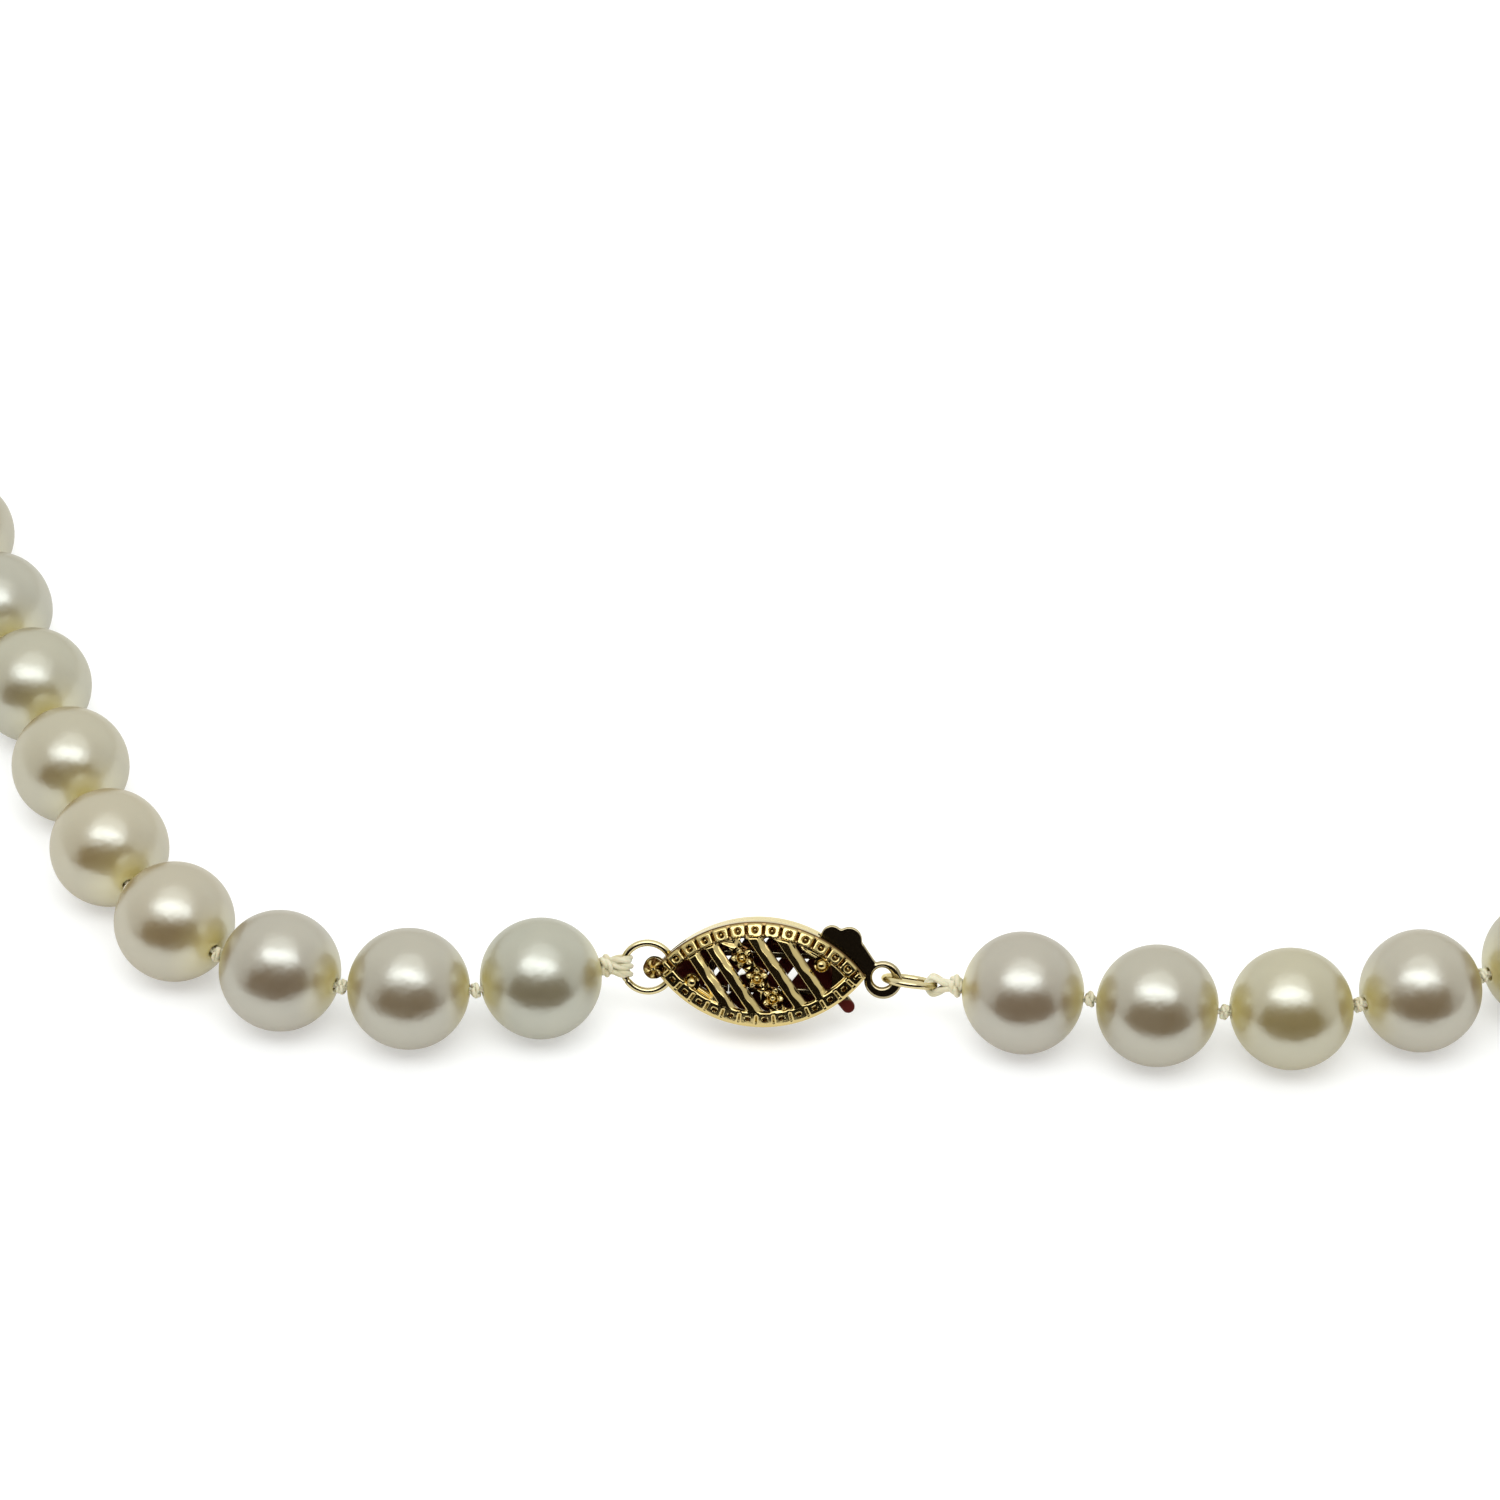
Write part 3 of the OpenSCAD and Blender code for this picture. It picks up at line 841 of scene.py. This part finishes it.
def shell_painted_shade(x, y, upper):
    """Painted shade marks: darker in the pits and grooves, and dark red painted shade on the faces inside the
    shell.
    """
    marks = np.zeros((len(x), 3))
    if not upper:
        # The faces inside the hollow shell get the dark red painted shade
        marks[:, 1] = np.where(outline_depth(x, y) > WALL, 1.0, 0.0)
        return marks
    sunk = dome_z(x, y) - shell_top(x, y)
    rim = outline_depth(x, y) < RIM_W
    # Painted shade, from how deep the face is sunk: in the rim's pits and in the grooves between the bars
    marks[:, 0] = np.where(rim, smoothstep((sunk - rim_bevel(x, y) - 0.09) / 0.06),
                           smoothstep((sunk - 0.2) / 0.06))
    knuckle = np.hypot(x - KNUCKLE[0], y - KNUCKLE[1]) < KNUCKLE[2] + 0.05
    # Painted shade in the knuckle's grooves
    marks[:, 0] = np.where(knuckle, smoothstep((0.8 - shell_top(x, y)) / 0.12), marks[:, 0])
    return marks


def shells():
    for node, turn, bar_half in (("front_shell", 0, BAR_HALF), ("back_shell", math.pi, BACK_BAR_HALF)):
        build = Build()
        plate(build, lambda x, y: shell_solid(x, y, bar_half), lambda x, y: shell_top(x, y, bar_half),
              shell_bottom, (-6.72, 6.05, -3.06, 3.06), SHELL_CELL, shell_painted_shade)
        matrix = CLASP @ Matrix.Rotation(turn, 4, "X")
        fit_piece(build.make(node + "_filigree", GOLD, matrix, sharp=44), node)


def bands():
    for node, side in (("upper_band", 1), ("lower_band", -1)):
        build = Build()

        def solid(x, y, side=side):
            depth = outline_depth(x, y)
            here = np.minimum(depth, BAND_T - depth)
            return np.minimum(np.minimum(here, side * y), np.minimum(x - BAND_X[0], BAND_X[1] - x))

        def top(x, y):
            return SLOT - 0.03 * (1 - smoothstep(outline_depth(x, y) / 0.08))

        plate(build, solid, top, lambda x, y: -top(x, y), (-4.4, 3.3, -3.1, 3.1), STRIP_CELL)
        fit_piece(build.make(node + "_strip", GOLD, CLASP, sharp=40), node)


def posts():
    for node, x in (("ring_post", RING_POST_X), ("cross_post", CROSS_POST_X)):
        build = Build()
        outline = [(-SLOT, POST_R), (-SLOT + 0.06, 0.285), (0, 0.27), (SLOT - 0.06, 0.285),
                   (SLOT, POST_R)]
        path = [(x, 0, z) for z, _ in outline]
        build.add(*tube(path, POST_R, 24, radii=[r for _, r in outline]))
        fit_piece(build.make(node + "_pin", GOLD, CLASP, sharp=50), node)


def polygon_depth(x, y, corners):
    """How far a point is inside a polygon."""
    best = np.full(np.shape(x), 1e9)
    inside = np.zeros(np.shape(x), bool)
    for (ax, ay), (bx, by) in zip(corners, corners[1:] + corners[:1]):
        px, py = x - ax, y - ay
        ex, ey = bx - ax, by - ay
        t = np.clip((px * ex + py * ey) / (ex * ex + ey * ey), 0, 1)
        best = np.minimum(best, np.hypot(px - t * ex, py - t * ey))
        crosses = (ay > y) != (by > y)
        with np.errstate(divide="ignore", invalid="ignore"):
            at = ax + (y - ay) * ex / (ey if ey else 1e-12)
        inside ^= crosses & (x < at)
    return np.where(inside, best, -best)


def rounded(t, soft, solid):
    """Height of a stamped strip's face, with its edge rounded over, and all round at the eye."""
    def height(x, y):
        from_eye = np.hypot(x - EYE[0], y - EYE[1])
        radius = soft + (t / 2 - soft) * smoothstep((EYE[2] + 0.12 - from_eye) / 0.2)
        edge = np.clip(solid(x, y) / radius, 0, 1)
        return t / 2 - radius * (1 - np.sqrt(np.maximum(0, 1 - (1 - edge) ** 2)))
    return height


def soft_max(a, b, k):
    return -soft_min(-a, -b, k)


def hook_solid(x, y):
    body = EYE[2] - np.hypot(x - EYE[0], y - EYE[1])
    body = soft_max(body, polygon_depth(x, y, list(ARM)), 0.1)
    for cx, cy, r in LOBES:
        body = soft_max(body, r - np.hypot(x - cx, y - cy), 0.2)
    leg = np.minimum(STRIP_W / 2 - np.abs(y - BEND_R - STRIP_W / 2),
                     np.minimum(x - BEND[0] + 0.05, LOBES[0][0] - x))
    bend = np.minimum(STRIP_W / 2 - np.abs(np.hypot(x - BEND[0], y) - BEND_R - STRIP_W / 2), BEND[0] - x)
    body = np.maximum(body, np.maximum(leg, bend))
    return np.minimum(body, np.hypot(x - EYE_HOLE[0], y - EYE_HOLE[1]) - EYE_HOLE[2])


def leg_solid(x, y):
    leg = np.minimum(STRIP_W / 2 - np.abs(y + BEND_R + STRIP_W / 2),
                     np.minimum(x - BEND[0] - 0.04, 4.52 - x))
    dx, dy = x - TAB_END[0], y - TAB_END[1]
    back = np.clip(-(dx * math.cos(TAB_ANGLE) + dy * math.sin(TAB_ANGLE)), 0, 1.1)
    px, py = dx + back * math.cos(TAB_ANGLE), dy + back * math.sin(TAB_ANGLE)
    tab = TAB_R - np.hypot(px, py)
    return np.maximum(leg, np.minimum(tab, -0.86 - y))


def tab_painted_shade(x, y, upper):
    """The tab gets the dark red painted shade of the inside of the shell."""
    marks = np.zeros((len(x), 3))
    marks[:, 1] = smoothstep((-1.25 - y) / 0.2)
    return marks


def hook_parts():
    for node, solid, span, marks in (("hook", hook_solid, (-3.1, 8.15, -1.35, 2.9), None),
                                     ("spring_leg", leg_solid, (-1.9, 5.6, -2.3, -0.7), tab_painted_shade)):
        build = Build()
        top = rounded(HOOK_T, 0.07, solid)
        plate(build, solid, top, lambda x, y, top=top: -top(x, y), span, STRIP_CELL, marks)
        fit_piece(build.make(node + "_strip", SHADED_GOLD, CLASP, sharp=60), node)


# ---------------------------------------------------------------- jump rings

def ring_frame(node):
    """Centre and normal of a jump ring, in millimetres."""
    joint = JOINTS[node + "_spin"]
    return np.array(joint["pos_m"]) / MM, np.array(joint["axis"])


def right_wire_point():
    centre, normal = ring_frame("right_ring")
    front = np.array(CLASP.to_3x3() @ Vector((0, 0, 1)))
    out = np.cross(front, normal)
    away = centre - clasp_point(0, 0, 0)
    out = out if np.dot(out, away) > 0 else -out
    return centre + RING_R * out / np.linalg.norm(out)


def jump_ring(node, seam_angle):
    """A ring of round wire, with the fine seam where it was closed."""
    centre, normal = ring_frame(node)
    across = np.cross(normal, [0.0, 0.0, 1.0])
    across /= np.linalg.norm(across)
    up = np.cross(normal, across)
    steps = 120
    angles = seam_angle + np.arange(steps) * 2 * math.pi / steps
    path = [centre + RING_R * (math.cos(a) * across + math.sin(a) * up) for a in angles]
    seam = [0.035 * math.exp(-(min(i, steps - i) / 0.9) ** 2) for i in range(steps)]
    build = Build()
    build.add(*tube(path, RING_WIRE, 20, closed=True, radii=[RING_WIRE - s for s in seam]))
    fit_piece(build.make(node + "_wire", PALE_GOLD), node)


# ---------------------------------------------------------------- stage, lights and camera

CAMERA_LIFT = math.radians(43)
CAMERA_AWAY = 0.300
CAMERA_AIM_UP = 12.59 * MM
CAMERA_AIM_LEFT = 0.6 * MM
VIEW_WIDTH = 0.0852
SENSOR = 36.0
ROOM_FRONT = (0.68, 0.69, 0.68)
ROOM_BACK = (1.12, 1.16, 1.15)
FLOOR_SIZE = 6.0
DARK_CARD_AT = Vector((-0.03, -0.30, 0.15))
DARK_CARD_SIZE = (1.0, 0.37)
# The lying sheet is painted shade: a dark sheet on the floor in front of the necklace, seen only in reflections
FLOOR_SHADE_SHEET_SIZE = (0.9, 0.3)
FLOOR_SHADE_SHEET_GAP = 0.019


def camera():
    """Looks along +Y and down, with the clasp low in the frame and a little right of centre."""
    ahead = Vector((0, math.cos(CAMERA_LIFT), -math.sin(CAMERA_LIFT)))
    up = Vector((0, math.sin(CAMERA_LIFT), math.cos(CAMERA_LIFT)))
    aim = CLASP.translation + up * CAMERA_AIM_UP - Vector((1, 0, 0)) * CAMERA_AIM_LEFT
    data = bpy.data.cameras.new("camera")
    data.sensor_width = SENSOR
    data.lens = SENSOR * CAMERA_AWAY / VIEW_WIDTH
    data.clip_start = 0.01
    made = bpy.data.objects.new("camera", data)
    made.location = aim - ahead * CAMERA_AWAY
    made.rotation_euler = (math.pi / 2 - CAMERA_LIFT, 0, 0)
    bpy.context.scene.collection.objects.link(made)
    bpy.context.scene.camera = made


def stage_material(name, colour, strength=0.0):
    material, tree, shader = new_material(name)
    colours = ramp(tree, noise(tree, 30, 2), [(0.3, colour), (0.7, tuple(c * 0.985 for c in colour))])
    tree.links.new(colours, shader.inputs["Base Color"])
    shader.inputs["Roughness"].default_value = 0.9
    shader.inputs["Specular IOR Level"].default_value = 0.1
    if strength:
        tree.links.new(colours, shader.inputs["Emission Color"])
        shader.inputs["Emission Strength"].default_value = strength
    return material


def card(name, centre, normal, width, height, material):
    """A flat card of the stage, facing normal."""
    mesh = bpy.data.meshes.new(name)
    w, h = width / 2, height / 2
    mesh.from_pydata([(-w, -h, 0), (w, -h, 0), (w, h, 0), (-w, h, 0)], [], [(0, 1, 2, 3)])
    mesh.materials.append(material)
    made = bpy.data.objects.new(name, mesh)
    made.location = centre
    made.rotation_euler = Vector(normal).to_track_quat("Z", "Y").to_euler()
    bpy.context.scene.collection.objects.link(made)
    return made


def area_light(name, away, lift, turn, size, power, colour):
    """A soft box that faces the clasp, away metres off, raised lift and turned from the front."""
    lift, turn = math.radians(lift), math.radians(turn)
    side = Vector((math.sin(turn) * math.cos(lift), -math.cos(turn) * math.cos(lift), math.sin(lift)))
    data = bpy.data.lights.new(name, "AREA")
    data.shape = "ELLIPSE"
    data.size, data.size_y = size
    data.energy = power
    data.color = colour
    made = bpy.data.objects.new(name, data)
    made.location = CLASP.translation + side * away
    made.rotation_euler = side.to_track_quat("Z", "Y").to_euler()
    bpy.context.scene.collection.objects.link(made)


def surroundings():
    """A pale room, brighter behind the necklace than in front of it."""
    world = bpy.data.worlds.new("room")
    world.use_nodes = True
    tree = world.node_tree
    where = add_node(tree, "ShaderNodeTexCoord")
    split = add_node(tree, "ShaderNodeSeparateXYZ")
    tree.links.new(where.outputs["Generated"], split.inputs["Vector"])
    depth = add_node(tree, "ShaderNodeMapRange", {"From Min": -1.0, "From Max": 1.0})
    tree.links.new(split.outputs["Y"], depth.inputs["Value"])
    colours = ramp(tree, depth.outputs["Result"], [(0.1, ROOM_FRONT), (0.8, ROOM_BACK)])
    tree.links.new(colours, tree.nodes["Background"].inputs["Color"])
    bpy.context.scene.world = world


def stage():
    floor_material = stage_material("floor_white", (0.72, 0.72, 0.715), 0.45)
    card("floor", (0, 0, 0), (0, 0, 1), FLOOR_SIZE, FLOOR_SIZE, floor_material)
    dark_material = stage_material("dark_card", (0.007, 0.004, 0.003))
    # A dark sheet on the floor just in front of the necklace, seen only in reflections: painted shade where the
    # floor lies in the pearls' shade
    near = CLASP.translation.y - FLOOR_SHADE_SHEET_GAP
    standing = card("dark_card", CLASP.translation + DARK_CARD_AT, (0, 1, 0.0), *DARK_CARD_SIZE,
                    dark_material)
    lying_shade_sheet = card("floor_shade_sheet", (-0.02, near - FLOOR_SHADE_SHEET_SIZE[1] / 2, 0.0004), (0, 0, 1),
                 *FLOOR_SHADE_SHEET_SIZE, dark_material)
    for dark in (standing, lying_shade_sheet):
        dark.visible_camera = False
        dark.visible_shadow = False
        dark.visible_diffuse = False
    area_light("soft_box_top", 0.34, 70, -8, (0.50, 0.15), 0.44, (0.97, 0.99, 1.04))
    area_light("halo_top", 0.36, 84, 0, (0.46, 0.40), 0.3, (1.0, 1.0, 0.99))
    surroundings()
    bpy.context.scene.view_settings.view_transform = "Standard"


camera()
pearls()
threads()
shells()
bands()
posts()
hook_parts()
jump_ring("left_ring", 0.6)
jump_ring("right_ring", 2.2)
stage()
